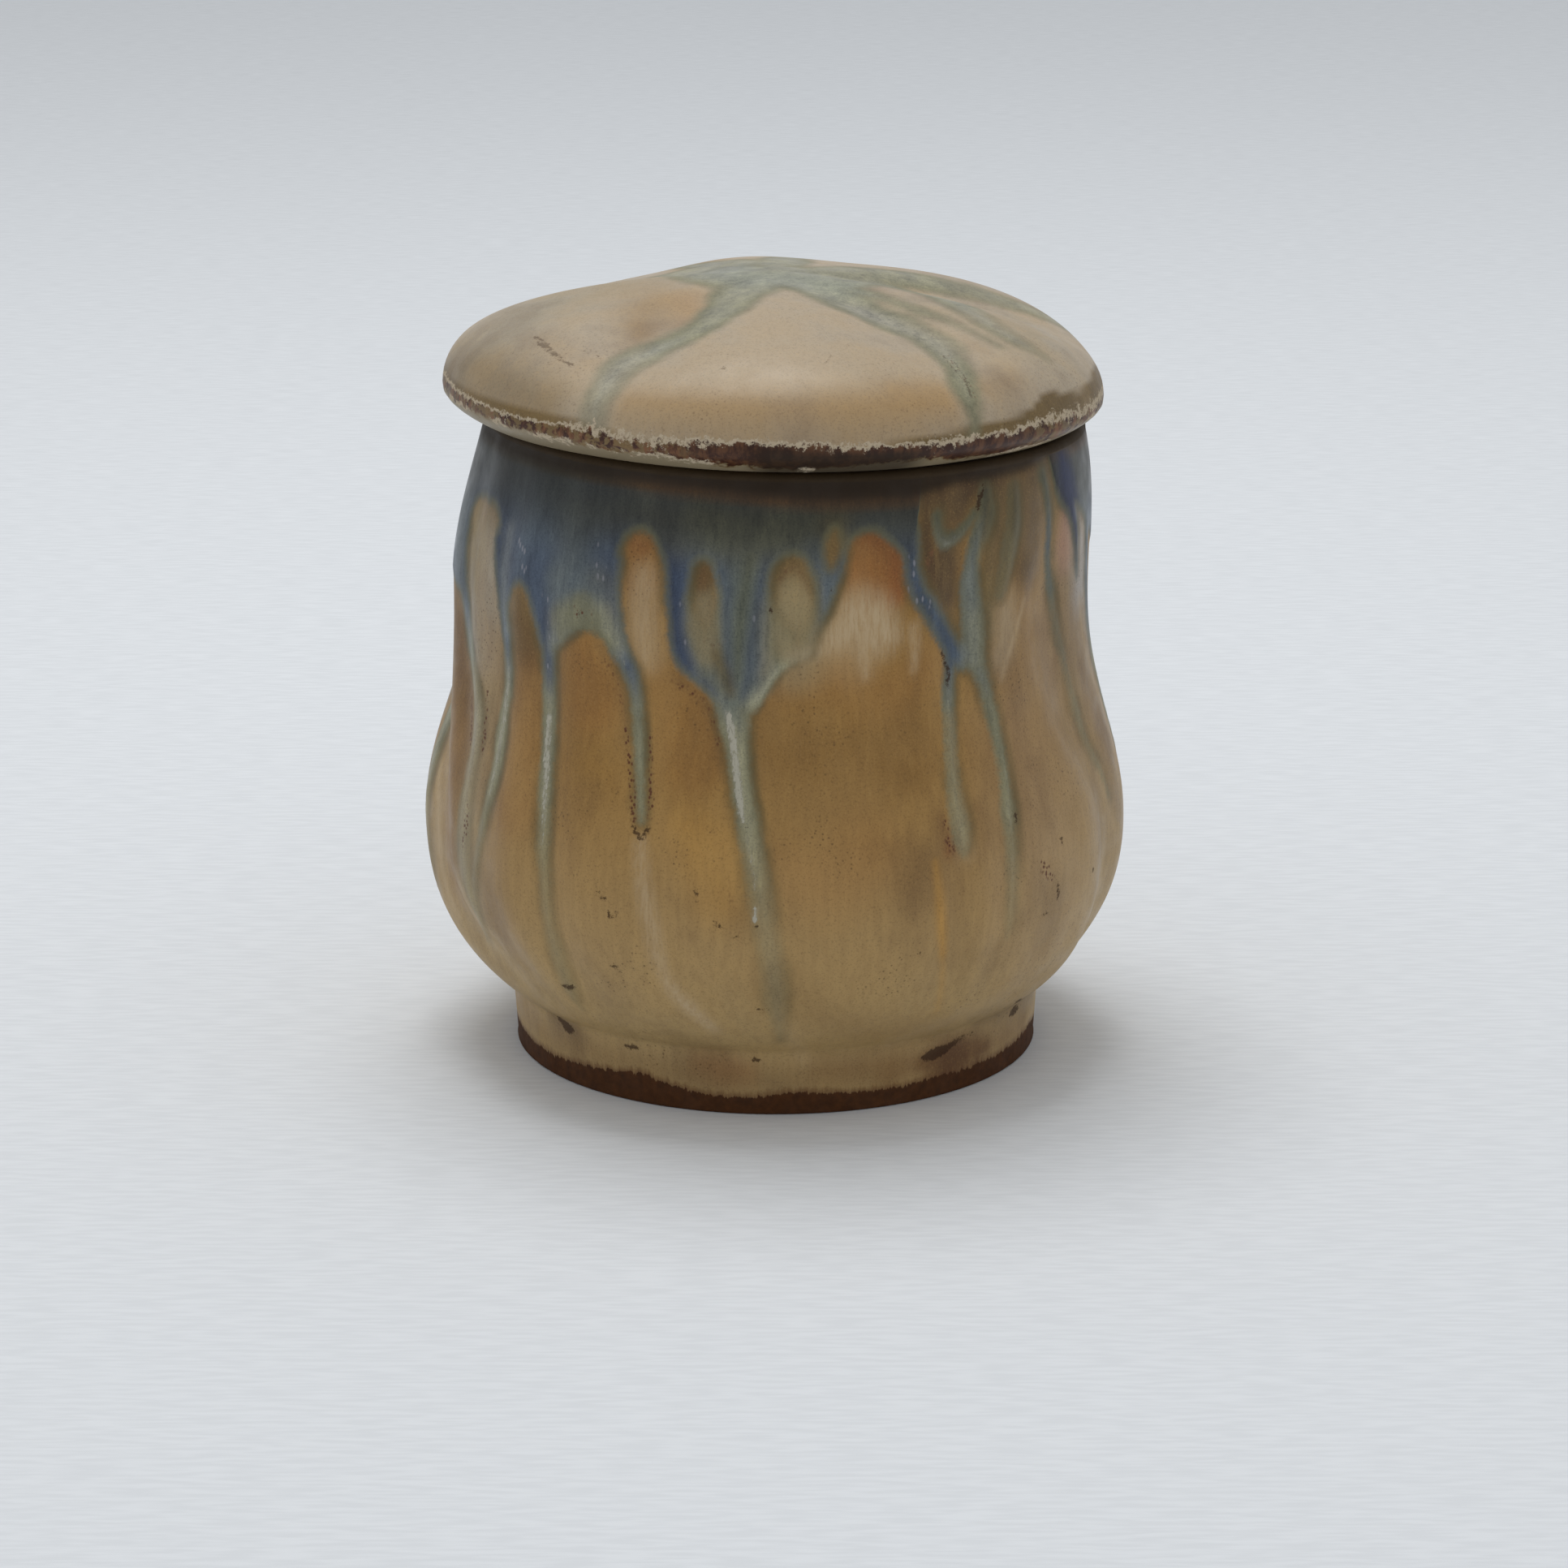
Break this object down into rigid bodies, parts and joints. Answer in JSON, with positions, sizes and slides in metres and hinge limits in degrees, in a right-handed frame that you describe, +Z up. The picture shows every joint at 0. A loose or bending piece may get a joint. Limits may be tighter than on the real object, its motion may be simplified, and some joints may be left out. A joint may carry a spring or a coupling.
{
  "type": "lidded jar",
  "caption": "Squat round stoneware jar with a folded, drip-glazed body on a turned foot ring and a lobed, knobless lift-off lid.",
  "frame": {"origin": "middle of the jar's base, on the surface it stands on", "axes": "+Z up through the mouth, -Y towards the side seen in the picture, +X to its right"},
  "size_m": [0.1186, 0.1177, 0.1315],
  "materials": {
    "body_glaze": "satin ochre stoneware glaze with blue-grey runs, bare dark clay at the foot",
    "lid_glaze": "satin beige stoneware glaze with grey-green runs and an iron-brown rim"
  },
  "bodies": {
    "jar": {"jar": "body_glaze"},
    "lid": {"lid": "lid_glaze"}
  },
  "joints": [
    {"name": "lid_lift", "type": "slide", "parent": "jar", "child": "lid", "axis": [0, 0, 1], "range_m": [0, 0.12]}
  ]
}
